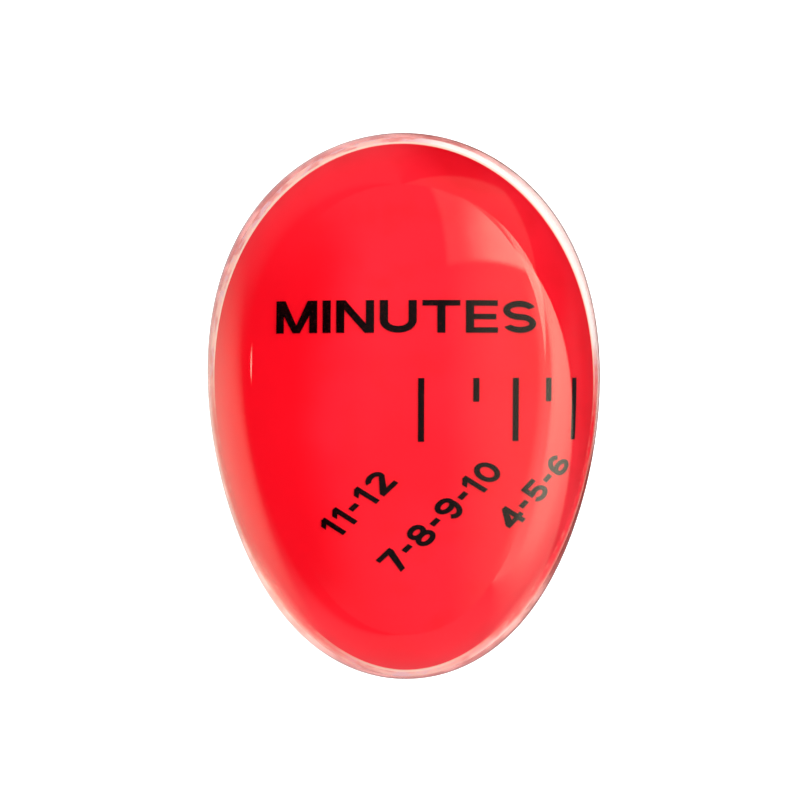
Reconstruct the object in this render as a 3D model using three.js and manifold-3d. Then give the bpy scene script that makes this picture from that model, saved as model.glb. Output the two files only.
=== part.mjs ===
// Colour-changing egg timer: a clear resin egg with a flat underside, which goes into the pan with the eggs.
// A heat-sensitive red insert lies flat inside it, at the egg's widest level, and its scale is printed on the
// insert's top face. The clear dome over it works as a magnifier.
//
// Frame: millimetres, +Z up, the origin in the middle of the flat underside, the blunt end towards +Y.

import * as THREE from "three";
import { mergeVertices } from "three/addons/utils/BufferGeometryUtils.js";
import Module from "manifold-3d";

const wasm = await Module();
wasm.setup();

// ---------------------------------------------------------------- driving dimensions, mm

const LENGTH = 56;
const MIDDLE_WIDTH = 40; // halfway along; the widest place is a little nearer the blunt end
const PARTING_HEIGHT = 10; // the dome and the base meet here, at the egg's widest level
const UNDERSIDE_EDGE = 1; // radius of the polished edge round the flat underside

const INSERT_LENGTH = 46.8;
const INSERT_MIDDLE_WIDTH = 30.8; // halfway along
const INSERT_SHIFT = -0.5; // it lies a little towards the pointed end
const INSERT_THICKNESS = 1.9;
const INK_THICKNESS = 0.1;
const POCKET_CLEARANCE = 0.3; // the resin shrinks back from the insert's rim

const LEGEND_TURN = THREE.MathUtils.degToRad(-0.75); // the print sits slightly askew on the insert

const TITLE = { text: "MINUTES", height: 2.65, stroke: 0.55, gap: 0.4, centre: [0.14, 8.06], turn: 0 };
const LABEL = { height: 2, stroke: 0.4, turn: THREE.MathUtils.degToRad(51) };
const LABELS = [
  { zone: "hard", text: "11-12", gap: 0.45, centre: [-3.2, -8.2] },
  { zone: "medium", text: "7-8-9-10", gap: 0.36, centre: [2.55, -9.35] },
  { zone: "soft", text: "4-5-6", gap: 0.34, centre: [9.4, -7.25] },
];

const TICK_TOP = 2.92;
const TICK_WIDTH = 0.41;
const LONG_TICK = 5.55;
const SHORT_TICK = 2.05;
const TICKS = [
  { zone: "hard", x: 1.15, length: LONG_TICK },
  { zone: "hard_to_medium", x: 4.95, length: SHORT_TICK },
  { zone: "medium", x: 7.77, length: LONG_TICK },
  { zone: "medium_to_soft", x: 10.3, length: SHORT_TICK },
  { zone: "soft", x: 12.62, length: LONG_TICK },
];

const ROUND_STEPS = 72; // round the egg
const DOME_STEPS = 16; // from the parting level to the top
const WALL_STEPS = 5; // from the parting level to the underside's edge
const EDGE_STEPS = 3;
const INK_ARC_STEPS = 10; // half the points on each arc of a figure

// ---------------------------------------------------------------- the two outlines

// How much wider than an ellipse each outline is, at a place along it from -1 (pointed end) to 1 (blunt end).
const fullness = (along) => 1 + 0.109 * along + 0.066 * along ** 2 - 0.044 * along ** 3;
const insertFullness = (along) => 1 + 0.13 * along - 0.06 * along ** 2;

// Turns a profile, drawn as a slice across the egg's middle, and pulls the result into the egg's outline.
// Above the parting level the height follows the width, so every slice across the dome is a half circle.
function turnedEgg(profile) {
  const geometry = new THREE.LatheGeometry(profile, ROUND_STEPS).rotateX(Math.PI / 2);
  const at = geometry.attributes.position;
  for (let i = 0; i < at.count; i++) {
    const along = at.getY(i) / (MIDDLE_WIDTH / 2);
    const wide = fullness(along);
    const z = at.getZ(i);
    at.setXYZ(i, at.getX(i) * wide, (along * LENGTH) / 2, z > 0 ? z * wide : z);
  }
  return geometry.translate(0, 0, PARTING_HEIGHT);
}

// Points on a circle in a profile, from one angle to another.
function arcPoints(x, y, radius, from, to, steps) {
  return Array.from({ length: steps + 1 }, (_, i) => {
    const angle = from + ((to - from) * i) / steps;
    return new THREE.Vector2(Math.max(0, x + radius * Math.cos(angle)), y + radius * Math.sin(angle));
  });
}

// ---------------------------------------------------------------- solids

function solidOf(geometry) {
  const bare = geometry.clone();
  for (const name of Object.keys(bare.attributes)) {
    if (name !== "position") bare.deleteAttribute(name);
  }
  const merged = mergeVertices(bare, 1e-4);
  return new wasm.Manifold(
    new wasm.Mesh({
      numProp: 3,
      vertProperties: merged.attributes.position.array,
      triVerts: new Uint32Array(merged.index.array),
    }),
  );
}

function geometryOf(solid) {
  const { numProp, vertProperties, triVerts } = solid.getMesh();
  const points = new Float32Array((vertProperties.length / numProp) * 3);
  for (let i = 0; i < points.length / 3; i++) {
    points.set(vertProperties.subarray(i * numProp, i * numProp + 3), i * 3);
  }
  const geometry = new THREE.BufferGeometry();
  geometry.setAttribute("position", new THREE.BufferAttribute(points, 3));
  geometry.setIndex(new THREE.BufferAttribute(triVerts, 1));
  geometry.computeVertexNormals();
  return geometry;
}

// A flat plate of the given shape, from one height up to another.
function plate(shape, bottom, top, curveSegments = INK_ARC_STEPS) {
  const options = { depth: top - bottom, bevelEnabled: false, curveSegments };
  return new THREE.ExtrudeGeometry(shape, options).translate(0, 0, bottom);
}

// ---------------------------------------------------------------- the three castings

function clearDome() {
  const radius = MIDDLE_WIDTH / 2;
  const crown = arcPoints(0, 0, radius, 0, Math.PI / 2, DOME_STEPS);
  return turnedEgg([new THREE.Vector2(0, 0), ...crown]);
}

const insertBottom = PARTING_HEIGHT - INK_THICKNESS - INSERT_THICKNESS;
const insertTop = PARTING_HEIGHT - INK_THICKNESS;

// The insert's outline, anticlockwise from +X, or the pocket's with the clearance round it.
function insertShape(clearance = 0) {
  const halfWidth = INSERT_MIDDLE_WIDTH / 2 + clearance;
  const halfLength = INSERT_LENGTH / 2 + clearance;
  const points = Array.from({ length: ROUND_STEPS }, (_, i) => {
    const angle = (2 * Math.PI * i) / ROUND_STEPS;
    const along = Math.sin(angle);
    const x = halfWidth * Math.cos(angle) * insertFullness(along);
    return new THREE.Vector2(x, halfLength * along + INSERT_SHIFT);
  });
  return new THREE.Shape(points);
}

// The wall carries the dome's circle on below the parting level, down to a small rounded edge.
function clearBase() {
  const radius = MIDDLE_WIDTH / 2;
  const edgeHeight = UNDERSIDE_EDGE - PARTING_HEIGHT;
  const edgeCentre = Math.sqrt((radius - UNDERSIDE_EDGE) ** 2 - edgeHeight ** 2);
  const edgeAngle = Math.atan2(edgeHeight, edgeCentre);
  const edge = arcPoints(edgeCentre, edgeHeight, UNDERSIDE_EDGE, -Math.PI / 2, edgeAngle, EDGE_STEPS);
  const wall = arcPoints(0, 0, radius, edgeAngle, 0, WALL_STEPS).slice(1);
  const centreBelow = new THREE.Vector2(0, -PARTING_HEIGHT);
  const blank = turnedEgg([centreBelow, ...edge, ...wall, new THREE.Vector2(0, 0)]);
  const pocket = plate(insertShape(POCKET_CLEARANCE), insertBottom, PARTING_HEIGHT + 1);
  return geometryOf(solidOf(blank).subtract(solidOf(pocket)));
}

function heatSensitiveInsert() {
  return plate(insertShape(), insertBottom, insertTop);
}

// ---------------------------------------------------------------- figures and letters

// Each shape stands on the line y = 0 and starts at x = 0. w is its width, h its height, t its stroke.

const polygon = (...points) => new THREE.Shape(points.map(([x, y]) => new THREE.Vector2(x, y)));

const bar = (x0, y0, x1, y1) => polygon([x0, y0], [x1, y0], [x1, y1], [x0, y1]);

// A band of stroke t round part of an ellipse that fits the box from (x0, y0) to (x1, y1).
function band(x0, y0, x1, y1, t, from, to) {
  const [x, y, a, b] = [(x0 + x1) / 2, (y0 + y1) / 2, (x1 - x0) / 2, (y1 - y0) / 2];
  const [start, end] = [from, to].map(THREE.MathUtils.degToRad);
  const shape = new THREE.Shape();
  shape.absellipse(x, y, a, b, start, end, false);
  shape.absellipse(x, y, a - t, b - t, end, start, true);
  return shape;
}

function ring(x0, y0, x1, y1, t) {
  const [x, y, a, b] = [(x0 + x1) / 2, (y0 + y1) / 2, (x1 - x0) / 2, (y1 - y0) / 2];
  const shape = new THREE.Shape();
  shape.absellipse(x, y, a, b, 0, 2 * Math.PI, false);
  const hole = new THREE.Path();
  hole.absellipse(x, y, a - t, b - t, 0, 2 * Math.PI, true);
  shape.holes.push(hole);
  return shape;
}

// Widths are shares of the height.
const GLYPHS = {
  M: { name: "m", wide: 1.12, shapes: (w, h, t) => [
    bar(0, 0, t, h),
    bar(w - t, 0, w, h),
    polygon([0, h], [w / 2 - 0.45 * t, 0], [w / 2 + 0.45 * t, 0], [1.2 * t, h]),
    polygon([w - 1.2 * t, h], [w / 2 - 0.45 * t, 0], [w / 2 + 0.45 * t, 0], [w, h]),
  ] },
  I: { name: "i", wide: 0.21, shapes: (w, h) => [bar(0, 0, w, h)] },
  N: { name: "n", wide: 0.98, shapes: (w, h, t) => [
    bar(0, 0, t, h),
    bar(w - t, 0, w, h),
    polygon([0, h], [w - 1.15 * t, 0], [w, 0], [1.15 * t, h]),
  ] },
  U: { name: "u", wide: 0.95, shapes: (w, h, t) => [
    bar(0, 0.38 * h, t, h),
    bar(w - t, 0.38 * h, w, h),
    band(0, 0, w, 0.78 * h, t, 180, 360),
  ] },
  T: { name: "t", wide: 0.98, shapes: (w, h, t) => [
    bar((w - t) / 2, 0, (w + t) / 2, h),
    bar(0, h - 0.8 * t, w, h),
  ] },
  E: { name: "e", wide: 0.84, shapes: (w, h, t) => [
    bar(0, 0, t, h),
    bar(0, 0, w, 0.8 * t),
    bar(0, (h - 0.8 * t) / 2, 0.95 * w, (h + 0.8 * t) / 2),
    bar(0, h - 0.8 * t, w, h),
  ] },
  S: { name: "s", wide: 0.92, shapes: (w, h, t) => [
    band(0, (h - 0.9 * t) / 2, w, h, 0.9 * t, 22, 270),
    band(0, 0, w, (h + 0.9 * t) / 2, 0.9 * t, -158, 90),
  ] },
  0: { name: "nought", wide: 0.8, shapes: (w, h, t) => [ring(0, 0, w, h, t)] },
  1: { name: "one", wide: 0.4, shapes: (w, h, t) => [
    bar(w - t, 0, w, h),
    polygon([0, h - 1.9 * t], [0, h - 0.85 * t], [w - 0.8 * t, h], [w - 0.5 * t, h - 0.9 * t]),
  ] },
  2: { name: "two", wide: 0.78, shapes: (w, h, t) => [
    band(0, 0.4 * h, w, h, t, -32, 165),
    polygon([0, 0], [0, 0.9 * t], [0.7 * w, 0.67 * h], [0.95 * w, 0.58 * h], [1.4 * t, 0.5 * t]),
    bar(0, 0, w, 0.95 * t),
  ] },
  4: { name: "four", wide: 0.82, shapes: (w, h, t) => [
    bar(0.6 * w, 0, 0.6 * w + t, h),
    bar(0, 0.22 * h, w, 0.22 * h + 0.9 * t),
    polygon([0, 0.22 * h], [1.15 * t, 0.22 * h], [0.6 * w + t, h], [0.6 * w, h], [0, 0.4 * h]),
  ] },
  5: { name: "five", wide: 0.78, shapes: (w, h, t) => [
    bar(0.08 * w, h - 0.95 * t, 0.94 * w, h),
    bar(0.08 * w, 0.42 * h, 0.08 * w + t, h),
    band(0, 0, w, 0.66 * h, t, -160, 140),
  ] },
  6: { name: "six", wide: 0.8, shapes: (w, h, t) => [
    ring(0, 0, w, 0.62 * h, t),
    band(0, 0, w, h, t, 42, 205),
  ] },
  7: { name: "seven", wide: 0.74, shapes: (w, h, t) => [
    bar(0, h - 0.95 * t, w, h),
    polygon([0.2 * w, 0], [0.2 * w + 1.1 * t, 0], [w, h - 0.9 * t], [w, h], [w - 1.2 * t, h - 0.5 * t]),
  ] },
  8: { name: "eight", wide: 0.8, shapes: (w, h, t) => [
    ring(0, 0, w, (h + t) / 2, t),
    ring(0.04 * w, (h - t) / 2, 0.96 * w, h, t),
  ] },
  9: { name: "nine", wide: 0.8, shapes: (w, h, t) => [
    ring(0, 0.38 * h, w, h, t),
    band(0, 0, w, h, t, -138, 25),
  ] },
  "-": { name: "dash", wide: 0.36, shapes: (w, h, t) => [bar(0, (h - t) / 2, w, (h + t) / 2)] },
};

function glyphSolid(character, height, stroke) {
  const glyph = GLYPHS[character];
  return glyph
    .shapes(glyph.wide * height, height, stroke)
    .map((shape) => solidOf(plate(shape, insertTop, PARTING_HEIGHT)))
    .reduce((joined, next) => joined.add(next));
}

// ---------------------------------------------------------------- assembly

const CLEAR_RESIN = new THREE.MeshStandardMaterial({
  color: 0xf3f6f8, roughness: 0.04, metalness: 0, transparent: true, opacity: 0.3,
});
const HEAT_SENSITIVE_RED = new THREE.MeshStandardMaterial({ color: 0xf21c2e, roughness: 0.35, metalness: 0 });
const BLACK_INK = new THREE.MeshStandardMaterial({ color: 0x120c0d, roughness: 0.6, metalness: 0 });

function named(name, geometry, material) {
  const mesh = new THREE.Mesh(geometry, material);
  mesh.name = name;
  return mesh;
}

// One line of print, centred on its own origin, with a mesh for each separate mark of ink.
function lineOfPrint(prefix, { text, height, stroke, gap, centre, turn }) {
  const line = new THREE.Group();
  line.position.set(centre[0], centre[1], 0);
  line.rotation.z = turn;
  const widths = [...text].map((character) => GLYPHS[character].wide * height);
  const total = widths.reduce((sum, width) => sum + width, 0) + gap * (text.length - 1);
  let x = -total / 2;
  [...text].forEach((character, i) => {
    const name = `${prefix}_${i + 1}_${GLYPHS[character].name}`;
    const mark = named(name, geometryOf(glyphSolid(character, height, stroke)), BLACK_INK);
    mark.position.set(x, -height / 2, 0);
    line.add(mark);
    x += widths[i] + gap;
  });
  return line;
}

function scaleTick({ zone, x, length }) {
  const half = TICK_WIDTH / 2;
  const shape = bar(x - half, TICK_TOP - length, x + half, TICK_TOP);
  return named(`tick_${zone}`, plate(shape, insertTop, PARTING_HEIGHT), BLACK_INK);
}

const legend = new THREE.Group();
legend.rotation.z = LEGEND_TURN;
legend.add(lineOfPrint("title", TITLE));
legend.add(...LABELS.map((label) => lineOfPrint(`label_${label.zone}`, { ...LABEL, ...label })));
legend.add(...TICKS.map(scaleTick));

const eggTimer = new THREE.Group();
eggTimer.add(
  named("clear_dome", clearDome(), CLEAR_RESIN),
  named("clear_base", clearBase(), CLEAR_RESIN),
  named("heat_sensitive_insert", heatSensitiveInsert(), HEAT_SENSITIVE_RED),
  legend,
);

export default eggTimer;
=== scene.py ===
# %% [markdown]
# # A colour-changing egg timer
# The real thing is a clear resin egg, cut flat so that it can stand in the pan. It is cast in two pours:
# a base, and a dome over it. A flat insert lies between them at the egg's widest level. Its top carries a
# heat-sensitive red coat with a scale screen-printed on it, and the dome magnifies both, like a lens laid
# on a page.
#
# The CAD frame holds every size. These cells make the fine surfaces, the materials and the light around
# it.

# %% Load the frame and measure its box
import math

import bpy
import numpy as np
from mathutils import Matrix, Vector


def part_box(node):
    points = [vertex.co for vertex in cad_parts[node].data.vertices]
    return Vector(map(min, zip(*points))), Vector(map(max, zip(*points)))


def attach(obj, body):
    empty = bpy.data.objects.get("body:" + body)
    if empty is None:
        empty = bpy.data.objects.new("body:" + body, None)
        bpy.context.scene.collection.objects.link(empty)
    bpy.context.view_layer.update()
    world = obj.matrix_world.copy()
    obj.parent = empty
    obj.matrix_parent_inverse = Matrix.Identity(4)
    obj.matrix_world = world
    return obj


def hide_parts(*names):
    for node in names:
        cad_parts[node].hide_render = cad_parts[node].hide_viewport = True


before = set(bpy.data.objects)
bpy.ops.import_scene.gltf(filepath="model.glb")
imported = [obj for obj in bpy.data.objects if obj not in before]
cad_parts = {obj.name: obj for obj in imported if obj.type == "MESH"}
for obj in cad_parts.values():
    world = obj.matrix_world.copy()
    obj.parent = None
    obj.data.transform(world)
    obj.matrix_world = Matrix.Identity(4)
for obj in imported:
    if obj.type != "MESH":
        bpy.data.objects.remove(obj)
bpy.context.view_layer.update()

MM = 0.001

# %% [markdown]
# ## Sizes
# A lens only works when it is where it should be, so everything is measured from the CAD nodes' boxes.
# What a box can't say, the egg's fullness and the small roundings, is given here.

# %% Sizes from the frame, in metres
insert_low, insert_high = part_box("heat_sensitive_insert")
HALF_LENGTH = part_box("clear_dome")[1][1]
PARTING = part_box("clear_base")[1][2]  # the level where dome and base meet, which is the egg's widest
HALF_WIDTH = 19.99 * MM  # halfway along; the egg is widest a little nearer its blunt end
EDGE_RADIUS = 1 * MM  # of the polished edge round the underside
INSERT_HALF_LENGTH = (insert_high[1] - insert_low[1]) / 2
INSERT_SHIFT = (insert_high[1] + insert_low[1]) / 2  # it lies a little towards the pointed end
INSERT_HALF_WIDTH = 15.4 * MM  # halfway along it
INSERT_TOP = insert_high[2]
print("egg", round(2 * HALF_LENGTH / MM, 2), "mm long; insert top at", round(INSERT_TOP / MM, 2), "mm")

# %% How full each outline is
def fullness(along):
    """How much wider than an ellipse the egg is, where along runs from -1 at the pointed end to 1 at the
    blunt end: 1 plus a share each of along, its square and its cube."""
    return 1 + 0.109 * along + 0.066 * along**2 - 0.044 * along**3


def insert_fullness(along):
    """The same for the insert, a plainer oval: 1 plus a share each of along and its square."""
    return 1 + 0.13 * along - 0.06 * along**2


sample = np.linspace(-1, 1, 2001)
widths = 2 * HALF_WIDTH * np.sqrt(1 - sample**2) * fullness(sample)
widest_at = HALF_LENGTH * sample[widths.argmax()]
print("widest:", round(widths.max() / MM, 2), "mm, at", round(widest_at / MM, 1), "mm from halfway")


# %% [markdown]
# ## Surfaces as grids
# An egg could be a squashed sphere, pulled about by hand. But light bends at every point of a clear
# surface, and any lump shows as a ripple in the print below, so the surface has to be exact. Every new
# piece here is a profile carried round an egg: a row of points (reach, height), where the reach is 1 at
# the outline. Each point becomes a ring, and a ring of reach 0 is a pole.

# %% Arcs, grids and meshes
def arc(centre, radius, start, end, count):
    """Points on a circle, centre + radius * (cos a, sin a), for a from start to end in degrees."""
    a = np.radians(np.linspace(start, end, count))
    return np.column_stack([centre[0] + radius * np.cos(a), centre[1] + radius * np.sin(a)])


def level_line(start, end, height, count):
    """Points at one height, whose reach runs evenly from start to end."""
    return np.column_stack([np.linspace(start, end, count), np.full(count, height)])


def carried_round(profile, half_width, half_length, widening, around=256):
    """Rings of points (x, y, z) from the middle of the parting level, one for each profile point (reach,
    height). along = reach sin a, x = half_width reach cos a widening(along), y = half_length along, and z is
    the height, times widening(along) over the parting level, so each slice across stays a half circle."""
    a = np.linspace(0, 2 * np.pi, around, endpoint=False)
    reach, height = profile[:, :1], profile[:, 1:]
    along = reach * np.sin(a)
    wide = widening(along)
    x = half_width * reach * np.cos(a) * wide
    return np.stack([x, half_length * along, height * np.where(height > 0, wide, 1.0)], axis=-1)


def closed_mesh(name, rings, middle):
    """A closed, smooth mesh from rings whose first and last are poles, set round middle. Rows of four-sided
    faces join the rings, and a fan of triangles closes each pole."""
    rings = rings + np.array(middle)
    inner = rings[1:-1]
    rows, around = inner.shape[:2]
    points = np.concatenate([rings[0, :1], inner.reshape(-1, 3), rings[-1, :1]])
    i, j = np.meshgrid(np.arange(rows - 1), np.arange(around), indexing="ij")
    here, right = 1 + i * around + j, 1 + i * around + (j + 1) % around
    quads = np.stack([here, right, right + around, here + around], axis=-1).reshape(-1, 4)
    k = np.arange(around)
    first, last = 1 + k, 1 + (rows - 1) * around + k
    first_next, last_next = np.roll(first, -1), np.roll(last, -1)
    bottom = np.stack([np.zeros_like(k), first_next, first], axis=-1)
    top = np.stack([last, last_next, np.full_like(k, len(points) - 1)], axis=-1)
    mesh = bpy.data.meshes.new(name)
    mesh.from_pydata(points.tolist(), [], quads.tolist() + bottom.tolist() + top.tolist())
    mesh.shade_smooth()
    piece = bpy.data.objects.new(name, mesh)
    bpy.context.scene.collection.objects.link(piece)
    print(name, len(mesh.polygons), "faces")
    return piece


print("a quarter circle from (1, 0) ends at", arc((0, 0), 1, 0, 90, 5)[-1].round(3).tolist())


# %% [markdown]
# ## The clear casting
# Dome and base are poured of the same resin and fuse where they meet, so no seam shows: to the light they
# are one block. Two closed shells with a face between them would mirror the insert twice. So one closed
# surface stands for both, and the insert and the print lie inside it, as they do in the real egg.

# %% The clear casting
edge_height = EDGE_RADIUS - PARTING
edge_reach = math.sqrt((HALF_WIDTH - EDGE_RADIUS) ** 2 - edge_height**2)
edge_angle = math.degrees(math.atan2(edge_height, edge_reach))
flat = level_line(0, edge_reach, -PARTING, 13)
edge = arc((edge_reach, edge_height), EDGE_RADIUS, -90, edge_angle, 9)
wall = arc((0, 0), HALF_WIDTH, edge_angle, 0, 25)
crown = arc((0, 0), HALF_WIDTH, 0, 90, 81)
casting_points = np.concatenate([flat, edge[1:], wall[1:], crown[1:]])
casting_points[[0, -1], 0] = 0  # both poles, freed of rounding
casting_profile = casting_points / [HALF_WIDTH, 1]
casting_rings = carried_round(casting_profile, HALF_WIDTH, HALF_LENGTH, fullness)
casting = closed_mesh("clear_casting", casting_rings, middle=(0, 0, PARTING))
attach(casting, "root")
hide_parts("clear_dome", "clear_base")

# %% [markdown]
# ## The heat-sensitive insert
# A stamped plate with a softly rounded rim. The rounding is small, but the dome magnifies it. The bright
# line round the red is a painted highlight, a pale line painted on the rounding.

# %% The insert
RIM = 0.3 * MM  # the rounding's radius
top, bottom = insert_high[2] - PARTING, insert_low[2] - PARTING
under = level_line(0, INSERT_HALF_WIDTH - RIM, bottom, 25)
lower = arc((INSERT_HALF_WIDTH - RIM, bottom + RIM), RIM, -90, 0, 7)
upper = arc((INSERT_HALF_WIDTH - RIM, top - RIM), RIM, 0, 90, 7)
over = level_line(INSERT_HALF_WIDTH - RIM, 0, top, 25)
insert_profile = np.concatenate([under, lower[1:], upper, over[1:]]) / [INSERT_HALF_WIDTH, 1]
insert_rings = carried_round(insert_profile, INSERT_HALF_WIDTH, INSERT_HALF_LENGTH, insert_fullness)
insert = closed_mesh("red_insert", insert_rings, middle=(0, INSERT_SHIFT, PARTING))
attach(insert, "root")
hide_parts("heat_sensitive_insert")


# %% [markdown]
# ## Materials
# Colours are written as sRGB hex, as a maker's colour card gives them, and one function turns them to the
# linear values that the renderer works in. One small function adds a node.

# %% Colours and nodes
def linear(hex_colour):
    """An sRGB hex colour such as "#fe2836" as linear red, green, blue and an alpha of 1. A channel up to
    0.04045 is divided by 12.92, and a brighter one is (channel + 0.055) / 1.055 to the power 2.4."""
    srgb = np.array([int(hex_colour[i : i + 2], 16) / 255 for i in (1, 3, 5)])
    low, high = srgb / 12.92, ((srgb + 0.055) / 1.055) ** 2.4
    return (*np.where(srgb <= 0.04045, low, high).tolist(), 1.0)


def node(owner, kind, settings=None, **inputs):
    """Adds a node of this kind to a material or world. settings are the node's own properties, and inputs
    are values, or sockets to link, by name, or by number as in_0."""
    made = owner.node_tree.nodes.new(kind)
    for name, value in (settings or {}).items():
        setattr(made, name, value)
    for name, value in inputs.items():
        socket = made.inputs[int(name[3:]) if name.startswith("in_") else name.replace("_", " ")]
        if isinstance(value, bpy.types.NodeSocket):
            owner.node_tree.links.new(value, socket)
        else:
            socket.default_value = value
    return made


def new_material(name):
    """An empty node material, and its Object coordinates, which are metres in the frame."""
    material = bpy.data.materials.new(name)
    material.use_nodes = True
    material.node_tree.nodes.clear()
    return material, node(material, "ShaderNodeTexCoord").outputs["Object"]


WHITE = linear("#ffffff")
WINDOW_LIGHT = linear("#fff6d8")  # a little warm
print("mid grey #808080 is", round(linear("#808080")[0], 3), "in linear light")

# %% [markdown]
# ## Shapes for patterns
# A stain, the edge of a coat and the edge of a patch of sun are built from the same few shapes: a soft
# step along a direction and a round spot, multiplied or added. Colours are then laid over one another like
# coats. Painting them as images would tie them to one resolution. A formula is as sharp as the renderer
# asks for, and its numbers are millimetres on the egg.

# %% Steps, spots and coats
SMOOTH = {"interpolation_type": "SMOOTHSTEP"}  # eases a change of value at both ends


def soft_step(owner, vector, direction, low, high):
    """0 where vector . direction is at low and 1 where it is at high, with a smooth change between. With
    low over high, the step falls instead of rising."""
    along = node(owner, "ShaderNodeVectorMath", {"operation": "DOT_PRODUCT"}, in_0=vector, in_1=direction)
    limits = {"From_Min": low, "From_Max": high}
    return node(owner, "ShaderNodeMapRange", SMOOTH, Value=along.outputs["Value"], **limits).outputs[0]


def glow_spot(owner, vector, centre, inner, outer):
    """1 within inner of the centre and 0 beyond outer, with a smooth change between. With inner over
    outer, the spot is a hole."""
    gap = node(owner, "ShaderNodeVectorMath", {"operation": "DISTANCE"}, in_0=vector, in_1=centre)
    limits = {"From_Min": outer, "From_Max": inner}
    return node(owner, "ShaderNodeMapRange", SMOOTH, Value=gap.outputs["Value"], **limits).outputs[0]


def combine(owner, operation, first, *others):
    """The values, sockets or numbers, added, multiplied and so on, one after another."""
    for other in others:
        first = node(owner, "ShaderNodeMath", {"operation": operation}, in_0=first, in_1=other).outputs[0]
    return first


def layered(owner, under, *coats):
    """The colour under, with the coats laid over it in turn. Each is a pair: its share, which is 0 where the
    coat is missing and 1 where it covers, and its colour."""
    for share, over in coats:
        coated = node(owner, "ShaderNodeMix", {"data_type": "RGBA"}, in_0=share, in_6=under, in_7=over)
        under = coated.outputs[2]
    return under


print("soft edges change as a", SMOOTH["interpolation_type"].lower())

# %% [markdown]
# ## Clear cast resin
# Clear polyester casting resin cures against a polished mould, so its skin is glossy and its index of
# refraction is about 1.5. It shrinks as it cures, which leaves swells a centimetre long over the crown,
# and streaks under a millimetre apart that run up the wall. The swells make a mirrored edge waver. The
# streaks show near the outline only, where a sight line grazes the wall and a small tilt sends it to
# another place, so the clear rim looks brushed.

# %% The resin
SWELL = 9 * MM
STREAK = 0.03  # radians, about 0.7 mm round the wall
STREAK_DEPTH = 0.25  # of a swell's
RIPPLE_DEPTH = 0.012 * MM  # deeper ripples would tear the print apart in a view from the side
STREAKS_START = PARTING + 8 * MM
STREAKS_FULL = PARTING + 4 * MM
RESIN_IOR = 1.5

resin, place = new_material("clear_cast_resin")
level = node(resin, "ShaderNodeMapping", Vector=place, Scale=(1, 1, 0)).outputs[0]  # without the height
around = node(resin, "ShaderNodeVectorMath", {"operation": "NORMALIZE"}, in_0=level).outputs[0]
lines = node(resin, "ShaderNodeTexNoise", Vector=around, Scale=1 / STREAK, Detail=1).outputs["Fac"]
height = node(resin, "ShaderNodeSeparateXYZ", Vector=place).outputs["Z"]
limits = {"From_Min": STREAKS_START, "From_Max": STREAKS_FULL}
on_wall = node(resin, "ShaderNodeMapRange", SMOOTH, Value=height, **limits).outputs[0]
streaks = combine(resin, "MULTIPLY", lines, on_wall, STREAK_DEPTH)
swells = node(resin, "ShaderNodeTexNoise", Vector=place, Scale=1 / SWELL, Detail=1).outputs["Fac"]
ripples = combine(resin, "ADD", swells, streaks)
skin = node(resin, "ShaderNodeBump", Strength=1.0, Distance=RIPPLE_DEPTH, Height=ripples).outputs[0]
glass = node(
    resin,
    "ShaderNodeBsdfPrincipled",
    Base_Color=WHITE,
    Roughness=0.01,
    IOR=RESIN_IOR,
    Transmission_Weight=1.0,
    Normal=skin,
)
node(resin, "ShaderNodeOutputMaterial", Surface=glass.outputs[0])
casting.data.materials.append(resin)
print(resin.name, "has", len(resin.node_tree.nodes), "nodes")

# %% [markdown]
# ## Heat-sensitive coat
# The plate's top is sprayed with a lacquer that holds tiny capsules of thermochromic dye, and they darken
# as they warm. Down the left the red is painted deeper and duller, as painted shade, since less light
# reaches that side, and a spot near the blunt end is painted darker too. Elsewhere the capsules clump
# into clouds of a few millimetres.

# %% Painted shade down the left, and a darker spot
PAINTED_SHADE_DEPTH = 0.85
SPOT_DEPTH = 0.6

plate, place = new_material("heat_sensitive_coat")
oval = node(
    plate,
    "ShaderNodeMapping",
    {"vector_type": "TEXTURE"},
    Vector=place,
    Location=(6.3 * MM, -1 * MM, INSERT_TOP),
    Scale=(12 * MM, 23.7 * MM, 1),
).outputs[0]
# painted shade: the left of the coat is darkened where less light reaches it
painted_shade_band = combine(
    plate,
    "MULTIPLY",
    glow_spot(plate, oval, (0, 0, 0), 1.2, 0.88),
    soft_step(plate, place, (-1, 0, 0), 0, 3 * MM),
    soft_step(plate, place, (0, -1, 0), -19 * MM, -9 * MM),
    soft_step(plate, place, (0, 1, 0), -21 * MM, -13 * MM),
    PAINTED_SHADE_DEPTH,
)
spot = glow_spot(plate, place, (4.5 * MM, 21.2 * MM, INSERT_TOP), 1 * MM, 4.5 * MM)
shade_and_spot = combine(plate, "MAXIMUM", painted_shade_band, combine(plate, "MULTIPLY", spot, SPOT_DEPTH))
print("the thick coat takes", len(plate.node_tree.nodes), "nodes")

# %% The red
CLUMP = 2.5 * MM
DRIFT = 14 * MM

fine = node(plate, "ShaderNodeTexNoise", Vector=place, Scale=1 / CLUMP, Detail=3).outputs["Fac"]
broad = node(plate, "ShaderNodeTexNoise", Vector=place, Scale=1 / DRIFT, Detail=2).outputs["Fac"]
limits = {"From_Min": 0.35, "From_Max": 0.65}
drifts = node(plate, "ShaderNodeMapRange", SMOOTH, Value=broad, **limits).outputs[0]
limits = {"From_Min": 0.45, "From_Max": 0.75, "To_Max": 0.5}
clumps = node(plate, "ShaderNodeMapRange", SMOOTH, Value=fine, **limits).outputs[0]
red = layered(
    plate,
    linear("#f61a2a"),
    (drifts, linear("#fb2232")),
    (clumps, linear("#ee1b27")),
    # painted shade: the deeper red down the left, and the darker spot near the blunt end
    (shade_and_spot, linear("#e2091a")),
)
print("the red mixes 4 colours, in clouds of", CLUMP / MM, "and", DRIFT / MM, "mm")

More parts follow.
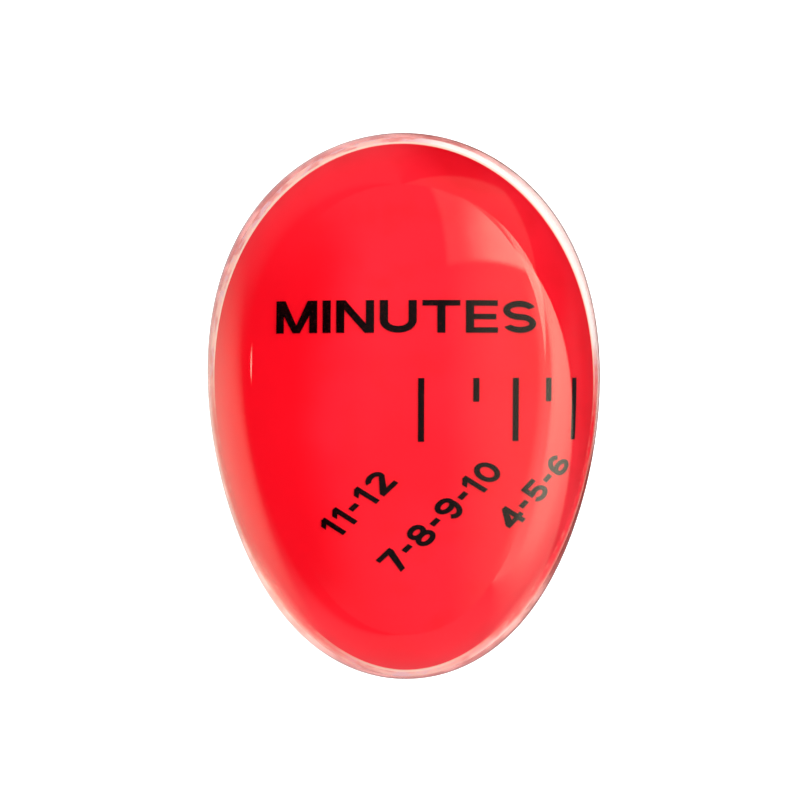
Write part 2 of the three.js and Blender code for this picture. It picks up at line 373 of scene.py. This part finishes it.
# %% [markdown]
# ## The plate's rim
# The plate is a pale salmon plastic. The lacquer has run over its rim through the middle third and thins
# there to orange. The rest of the rim is bare and mottled where the plate was rubbed. It is painted paler
# towards the window and near the pointed end on that side, as painted light, and a pale line just under the
# lacquer's edge is a painted highlight. The resin wets all of it, so it has no gloss of its own.

# %% Where the lacquer has run
RUB = 1.1 * MM

worn = node(plate, "ShaderNodeTexNoise", Vector=place, Scale=1 / RUB, Detail=3).outputs["Fac"]
middle_third = combine(
    plate,
    "MULTIPLY",
    soft_step(plate, place, (0, 1, 0), 7 * MM, -4 * MM),
    soft_step(plate, place, (0, 1, 0), -25 * MM, -18 * MM),
)
uneven = node(plate, "ShaderNodeMapRange", Value=worn, To_Min=-0.5, To_Max=0.5).outputs[0]
thin = combine(plate, "ADD", middle_third, combine(plate, "MULTIPLY", middle_third, uneven))
height = node(plate, "ShaderNodeSeparateXYZ", Vector=place).outputs["Z"]
limits = {"From_Min": INSERT_TOP - 1.7 * MM, "From_Max": INSERT_TOP - 0.7 * MM}
low_edge = node(plate, "ShaderNodeMapRange", SMOOTH, Value=height, **limits).outputs[0]
run = combine(plate, "MULTIPLY", thin, low_edge)
limits = {"From_Min": INSERT_TOP - 0.06 * MM, "From_Max": INSERT_TOP - 0.02 * MM}
on_top = node(plate, "ShaderNodeMapRange", SMOOTH, Value=height, **limits).outputs[0]
covered = combine(plate, "MINIMUM", combine(plate, "MAXIMUM", on_top, run), 1)
print("with the run there are", len(plate.node_tree.nodes), "nodes")

# %% The bare plate, and the coat over it
limits = {"From_Min": 0.42, "From_Max": 0.54}
patches = node(plate, "ShaderNodeMapRange", SMOOTH, Value=fine, **limits).outputs[0]
limits = {"From_Min": 0.5, "From_Max": 0.6, "To_Max": 0.85}
rubbed = node(plate, "ShaderNodeMapRange", SMOOTH, Value=worn, **limits).outputs[0]
# painted light: the bare rim is paler on the side towards the window and near the pointed end on that side
lit_side = soft_step(plate, place, (0.8, 0.6, 0), 14 * MM, 16.5 * MM)
lit_end = glow_spot(plate, place, (8.5 * MM, -19.5 * MM, INSERT_TOP), 2 * MM, 6 * MM)
# painted highlight: a pale line on the rounding, just under the lacquer's edge
limits = {"From_Min": INSERT_TOP - 0.32 * MM, "From_Max": INSERT_TOP - 0.2 * MM, "To_Max": 0.8}
painted_highlight = node(plate, "ShaderNodeMapRange", SMOOTH, Value=height, **limits).outputs[0]
surface = layered(
    plate,
    linear("#ee958f"),
    (patches, linear("#ffc2b4")),
    (rubbed, linear("#f0bcc4")),
    (combine(plate, "MAXIMUM", lit_side, lit_end), linear("#fff4ee")),
    (painted_highlight, linear("#ffe0c8")),
    (combine(plate, "MULTIPLY", thin, 0.7), linear("#ee6a52")),
    (covered, red),
)
coat = node(
    plate,
    "ShaderNodeBsdfPrincipled",
    Base_Color=surface,
    Roughness=0.5,
    Specular_IOR_Level=0,
)
node(plate, "ShaderNodeOutputMaterial", Surface=coat.outputs[0])
insert.data.materials.append(plate)
print(plate.name, "has", len(plate.node_tree.nodes), "nodes")

# %% [markdown]
# ## Screen-printed ink
# A black ink pressed through a fine mesh, a few hundredths of a millimetre thick. It is nearly opaque.
# The mesh leaves it thinner in specks a tenth or two of a millimetre across, where the red below warms
# the black. The resin wets this face too, so it has no gloss.

# %% The ink
SPECK = 0.15 * MM

ink, place = new_material("black_screen_ink")
grain = node(ink, "ShaderNodeTexNoise", Vector=place, Scale=1 / SPECK, Detail=3).outputs["Fac"]
specks = node(ink, "ShaderNodeMapRange", SMOOTH, Value=grain, From_Min=0.56, From_Max=0.7).outputs[0]
black = layered(ink, linear("#0a0203"), (specks, linear("#2c0a0c")))
film = node(ink, "ShaderNodeBsdfPrincipled", Base_Color=black, Roughness=0.6, Specular_IOR_Level=0)
node(ink, "ShaderNodeOutputMaterial", Surface=film.outputs[0])
marks = [ob for name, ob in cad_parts.items() if name.startswith(("title_", "label_", "tick_"))]
for mark in marks:
    mark.data.materials.clear()
    mark.data.materials.append(ink)
print(ink.name, "on", len(marks), "marks")

# %% [markdown]
# ## Camera
# The egg is seen from straight above with its pointed end towards the viewer. A lens near the egg would
# show the dome's sides differently from its middle, so the camera hangs well back and takes in a narrow
# field.

# %% The camera
CAMERA_HEIGHT = 0.6  # metres over the parting level
CAMERA_PLACE = (-0.42 * MM, 0.615 * MM)  # the egg isn't quite in the middle of the view
FIELD = 82.05 * MM  # what the picture spans at that level
SENSOR = 36  # mm across
TURN = -0.75  # degrees, since the egg wasn't laid quite square

camera = bpy.data.objects.new("camera", bpy.data.cameras.new("camera"))
bpy.context.scene.collection.objects.link(camera)
bpy.context.scene.camera = camera
camera.data.sensor_width = SENSOR
camera.data.lens = SENSOR * CAMERA_HEIGHT / FIELD
camera.location = (*CAMERA_PLACE, CAMERA_HEIGHT + PARTING)
camera.rotation_euler = (0, 0, math.radians(TURN))
print("lens, mm:", round(camera.data.lens, 1))

# %% [markdown]
# ## The paper under the egg
# A glossy dome is a mirror of the whole room, and a mirror over a red print is judged by what it mirrors.
# Seen straight, the floor is plain white paper. What the dome mirrors of it is the paper in the light of
# one window, on the right. The two are told apart by the ray: it is glossy and it is a reflection only
# when it comes from the dome's skin.

# %% The floor
FLOOR_SIDE = 3.0  # metres
FLOOR_GAP = 0.1 * MM  # under the egg, so that the two flat faces don't share one plane

half_side = FLOOR_SIDE / 2
corners = [(-1, -1), (1, -1), (1, 1), (-1, 1)]
floor_mesh = bpy.data.meshes.new("floor")
points = [(half_side * x, half_side * y, -FLOOR_GAP) for x, y in corners]
floor_mesh.from_pydata(points, [], [(0, 1, 2, 3)])
floor = bpy.data.objects.new("floor", floor_mesh)
bpy.context.scene.collection.objects.link(floor)


def mirrored(owner):
    """1 for what a smooth surface mirrors, and 0 for what is seen straight or lights things: it is Is Glossy
    Ray times Is Reflection Ray."""
    path = node(owner, "ShaderNodeLightPath").outputs
    return combine(owner, "MULTIPLY", path["Is Glossy Ray"], path["Is Reflection Ray"])


paper, place = new_material("white_paper")
print("the floor is", FLOOR_SIDE, "m square")

# %% [markdown]
# ## Sun on the paper
# The dome shows the paper in full sun beyond a slanting line, a window pane's bright patch far off, and a
# few faint pools of light. Each pool is a round spot, so a table holds them. A strength of 1 would show as
# white if the dome mirrored all of it, but it mirrors only a few hundredths of what it faces, and more
# near its outline.

# %% The sun, the pane and the pools
SUN_NEAR, SUN_FAR = 1.7, 4.3  # strengths
SUN_BESIDE_EGG = 0.3  # what is left of the sun beside the egg
PANE_DIM, PANE_BRIGHT = 0.8, 4.0
FAR_STRIP = 0.36
POOLS = [  # centre x and y, bright within, gone beyond, all in mm, and the strength
    (-47, -12, 10, 42, 0.9),
    (-21, -28, 2, 14, 0.8),
    (22, -32, 3, 13, 0.6),
    (-139, 10, 4, 12, 6.0),
]

far_sun = glow_spot(paper, place, (150 * MM, 40 * MM, 0), 20 * MM, 150 * MM)
by_egg = glow_spot(paper, place, (0, 0, 0), 25 * MM, 75 * MM)
sunlit = combine(
    paper,
    "MULTIPLY",
    soft_step(paper, place, (0.6, -0.8, 0), 34.5 * MM, 39 * MM),
    soft_step(paper, place, (0.707, 0.707, 0), -18 * MM, 26 * MM),
    node(paper, "ShaderNodeMapRange", Value=far_sun, To_Min=SUN_NEAR, To_Max=SUN_FAR).outputs[0],
    node(paper, "ShaderNodeMapRange", Value=by_egg, To_Min=1.0, To_Max=SUN_BESIDE_EGG).outputs[0],
)
pane_end = soft_step(paper, place, (0.5, -0.87, 0), -150 * MM, -30 * MM)
pane = combine(
    paper,
    "MULTIPLY",
    soft_step(paper, place, (0.95, -0.31, 0), 127 * MM, 137 * MM),
    soft_step(paper, place, (0, 1, 0), 60 * MM, 80 * MM),
    soft_step(paper, place, (0.985, -0.17, 0), -6 * MM, 6 * MM),
    node(paper, "ShaderNodeMapRange", Value=pane_end, To_Min=PANE_DIM, To_Max=PANE_BRIGHT).outputs[0],
)
far_strip = combine(
    paper,
    "MULTIPLY",
    soft_step(paper, place, (1, 0, 0), 27 * MM, 33 * MM),
    soft_step(paper, place, (-0.24, 0.97, 0), 35 * MM, 40 * MM),
    FAR_STRIP,
)
pools = []
for x, y, within, beyond, power in POOLS:
    pool = glow_spot(paper, place, (x * MM, y * MM, 0), within * MM, beyond * MM)
    pools.append(combine(paper, "MULTIPLY", pool, power))
warm = combine(paper, "ADD", sunlit, pane, far_strip, *pools)
print("sun, pane, strip and", len(pools), "pools take", len(paper.node_tree.nodes), "nodes")

# %% [markdown]
# ## Even light on the paper
# The rest of the paper is dimly and evenly lit: a little more in front of the egg and close beside it on
# the left, less beside its wall on the right, and hardly at all far to the left or behind it on the right.

# %% The even light
EVEN = 0.15
IN_FRONT = 0.17
BESIDE = 0.3
NEAR_WALL = 0.35  # what is left of the light there

egg_size = (HALF_WIDTH, HALF_LENGTH, 1)
shrunk = node(paper, "ShaderNodeVectorMath", {"operation": "DIVIDE"}, in_0=place, in_1=egg_size).outputs[0]
beside = combine(
    paper,
    "MULTIPLY",
    glow_spot(paper, shrunk, (0, 0, 0), 1.05, 1.35),
    soft_step(paper, place, (-1, 0.1, 0), 0, 8 * MM),
    BESIDE,
)
shade = combine(
    paper,
    "MULTIPLY",
    soft_step(paper, place, (1, 0, 0), -8 * MM, 8 * MM),
    soft_step(paper, place, (0, 1, 0), 10 * MM, 25 * MM),
)
unshaded = node(paper, "ShaderNodeMapRange", Value=shade, To_Min=EVEN, To_Max=0).outputs[0]
front = combine(paper, "MULTIPLY", soft_step(paper, place, (0, -1, 0), 15 * MM, 45 * MM), IN_FRONT)
near_wall = combine(
    paper,
    "MULTIPLY",
    glow_spot(paper, place, (26 * MM, 6 * MM, 0), 12 * MM, 26 * MM),
    soft_step(paper, place, (0, 1, 0), -20 * MM, -10 * MM),
)
even = combine(
    paper,
    "MULTIPLY",
    combine(paper, "ADD", unshaded, front, beside),
    node(paper, "ShaderNodeMapRange", Value=near_wall, To_Min=1, To_Max=NEAR_WALL).outputs[0],
    soft_step(paper, place, (1, 0, 0), -110 * MM, -40 * MM),
)
plain_glow = node(paper, "ShaderNodeEmission", Color=WHITE, Strength=even)
warm_glow = node(paper, "ShaderNodeEmission", Color=WINDOW_LIGHT, Strength=warm)
glow = node(paper, "ShaderNodeAddShader", in_0=plain_glow.outputs[0], in_1=warm_glow.outputs[0])
print("with the even light there are", len(paper.node_tree.nodes), "nodes")

# %% [markdown]
# ## The paper seen through the egg
# Beside the insert, a sight line passes under it and meets the paper below the egg. Light only gets there
# through the resin and off the salmon plate, so it isn't white: pink on most sides, near white towards
# the window, and dark red where the coat has run over the rim. That light is painted on the patch of
# paper below the egg, as a tint and a glow; the open paper stays white.

# %% The painted light on the paper below the egg
PAPER_CLOUD = 1.6 * MM

under_egg = glow_spot(paper, shrunk, (0, 0, 0), 0.85, 1.0)
window_side = combine(
    paper,
    "MULTIPLY",
    soft_step(paper, place, (1, 0, 0), 2 * MM, 6 * MM),
    soft_step(paper, place, (0, 1, 0), -4 * MM, -1 * MM),
)
coat_side = combine(
    paper,
    "MULTIPLY",
    soft_step(paper, place, (1, 0, 0), 4.5 * MM, 6.5 * MM),
    soft_step(paper, place, (0, -1, 0), 2 * MM, 5 * MM),
)
clouds = node(paper, "ShaderNodeTexNoise", Vector=place, Scale=1 / PAPER_CLOUD, Detail=3).outputs["Fac"]
cloudy = node(paper, "ShaderNodeMapRange", SMOOTH, Value=clouds, From_Min=0.38, From_Max=0.62).outputs[0]
# painted light: the colour that the light below the egg gives the paper
through = layered(
    paper,
    linear("#e89c9a"),
    (cloudy, linear("#ffc8c4")),
    (window_side, linear("#fff8f4")),
    (coat_side, linear("#c8240f")),
)
print("the patch below the egg is", round(2 * HALF_LENGTH / MM), "mm long")

# %% The glow of the paper, and the whole floor
CLOUD_DARK, CLOUD_LIGHT = 0.42, 0.66  # strengths below the egg
WINDOW_SIDE = 0.85
COAT_SIDE = 0.12
OPEN_PAPER = 0.8  # as it lights the egg
OPEN_PAPER_SEEN = 0.55  # as the camera sees it

strength = node(paper, "ShaderNodeMapRange", Value=cloudy, To_Min=CLOUD_DARK, To_Max=CLOUD_LIGHT).outputs[0]
for share, glow_there in ((window_side, WINDOW_SIDE), (coat_side, COAT_SIDE)):
    strength = node(paper, "ShaderNodeMapRange", Value=share, To_Min=strength, To_Max=glow_there).outputs[0]
by_camera = node(paper, "ShaderNodeLightPath").outputs["Is Camera Ray"]
open_limits = {"To_Min": OPEN_PAPER, "To_Max": OPEN_PAPER_SEEN}
open_strength = node(paper, "ShaderNodeMapRange", Value=by_camera, **open_limits).outputs[0]
egg_limits = {"To_Min": open_strength, "To_Max": strength}
strength = node(paper, "ShaderNodeMapRange", Value=under_egg, **egg_limits).outputs[0]
tint = layered(paper, WHITE, (under_egg, through))
# painted light: the paper below the egg glows in that colour
lift = node(paper, "ShaderNodeEmission", Color=tint, Strength=strength)
sheet_colour = layered(paper, linear("#f4f4f4"), (under_egg, through))
sheet = node(paper, "ShaderNodeBsdfDiffuse", Color=sheet_colour)
lit = node(paper, "ShaderNodeAddShader", in_0=sheet.outputs[0], in_1=lift.outputs[0])
seen = node(paper, "ShaderNodeMixShader", Fac=mirrored(paper), in_1=lit.outputs[0], in_2=glow.outputs[0])
node(paper, "ShaderNodeOutputMaterial", Surface=seen.outputs[0])
floor.data.materials.append(paper)
print(paper.name, "has", len(paper.node_tree.nodes), "nodes")

# %% [markdown]
# ## Light
# The print is lit by an even white studio, stronger towards the window on the right. Lamps would add hard
# spots that the egg doesn't show, so the whole sky is the lamp. What the dome mirrors of it is a dim
# room, with one tall window whose edges are planes through the egg, and a bright wall low on the right.


# %% Directions in the room
def toward(from_vertical, azimuth):
    """The unit vector at these angles in degrees, from the vertical and round from +X: (sin t cos a, sin t
    sin a, cos t)."""
    t, a = math.radians(from_vertical), math.radians(azimuth)
    return (math.sin(t) * math.cos(a), math.sin(t) * math.sin(a), math.cos(t))


def edge_normal(a, b):
    """The normal of the plane that holds two directions, which is their cross product at length 1: a
    straight edge seen from the egg lies in such a plane."""
    return tuple((np.cross(a, b) / np.linalg.norm(np.cross(a, b))).tolist())


WINDOW_CORNER = toward(48.5, 56.5)
UP_THE_EDGE = toward(97, 80.5)
ALONG_THE_SILL = toward(92, 26.3)
print("the window's corner lies toward", [round(v, 2) for v in WINDOW_CORNER])

# %% The room that the dome mirrors
WINDOW_DIM, WINDOW_BRIGHT = 0.62, 4.2  # strengths
PANE_UNEVEN = (0.8, 1.2)  # how far the glass lightens and darkens it
PANE_CLOUD = 0.12  # radians across
RIGHT_SIDE = 0.7
HORIZON = 0.9
DIM = 0.15

world = bpy.data.worlds.new("white_studio")
bpy.context.scene.world = world
world.use_nodes = True
world.node_tree.nodes.clear()
direction = node(world, "ShaderNodeTexCoord").outputs["Generated"]

to_right = soft_step(world, direction, toward(90, 25), 0.76, 1.0)
haze = node(world, "ShaderNodeTexNoise", Vector=direction, Scale=1 / PANE_CLOUD, Detail=3).outputs["Fac"]
window = combine(
    world,
    "MULTIPLY",
    soft_step(world, direction, edge_normal(UP_THE_EDGE, WINDOW_CORNER), -0.02, 0.04),
    soft_step(world, direction, edge_normal(WINDOW_CORNER, ALONG_THE_SILL), -0.035, 0.025),
    node(world, "ShaderNodeMapRange", Value=to_right, To_Min=WINDOW_DIM, To_Max=WINDOW_BRIGHT).outputs[0],
    node(world, "ShaderNodeMapRange", Value=haze, To_Min=PANE_UNEVEN[0], To_Max=PANE_UNEVEN[1]).outputs[0],
)
right_side = soft_step(world, direction, toward(90, 0), 0.35, 0.9)
horizon = combine(
    world,
    "MULTIPLY",
    soft_step(world, direction, (0, 0, -1), -0.12, 0),
    soft_step(world, direction, toward(90, -8), 0.8, 0.95),
    HORIZON,
)
warm_light = combine(world, "ADD", window, combine(world, "MULTIPLY", right_side, RIGHT_SIDE), horizon)
to_left = soft_step(world, direction, toward(80, 175), 0.4, 0.8)
dim_light = node(world, "ShaderNodeMapRange", Value=to_left, To_Min=DIM, To_Max=0).outputs[0]
dim_room = node(world, "ShaderNodeBackground", Color=WHITE, Strength=dim_light)
warm_room = node(world, "ShaderNodeBackground", Color=WINDOW_LIGHT, Strength=warm_light)
room = node(world, "ShaderNodeAddShader", in_0=dim_room.outputs[0], in_1=warm_room.outputs[0])
print("the room takes", len(world.node_tree.nodes), "nodes")

# %% The studio that lights the egg, and the whole sky
STUDIO_DIM, STUDIO_BRIGHT = 1.13, 2.9

to_window = soft_step(world, direction, toward(62, 30), 0.2, 1.0)
studio_limits = {"To_Min": STUDIO_DIM, "To_Max": STUDIO_BRIGHT}
studio_light = node(world, "ShaderNodeMapRange", Value=to_window, **studio_limits).outputs[0]
studio = node(world, "ShaderNodeBackground", Color=WHITE, Strength=studio_light)
sky = node(world, "ShaderNodeMixShader", Fac=mirrored(world), in_1=studio.outputs[0], in_2=room.outputs[0])
node(world, "ShaderNodeOutputWorld", Surface=sky.outputs[0])
bpy.context.scene.view_settings.view_transform = "Standard"
print(world.name, "has", len(world.node_tree.nodes), "nodes")
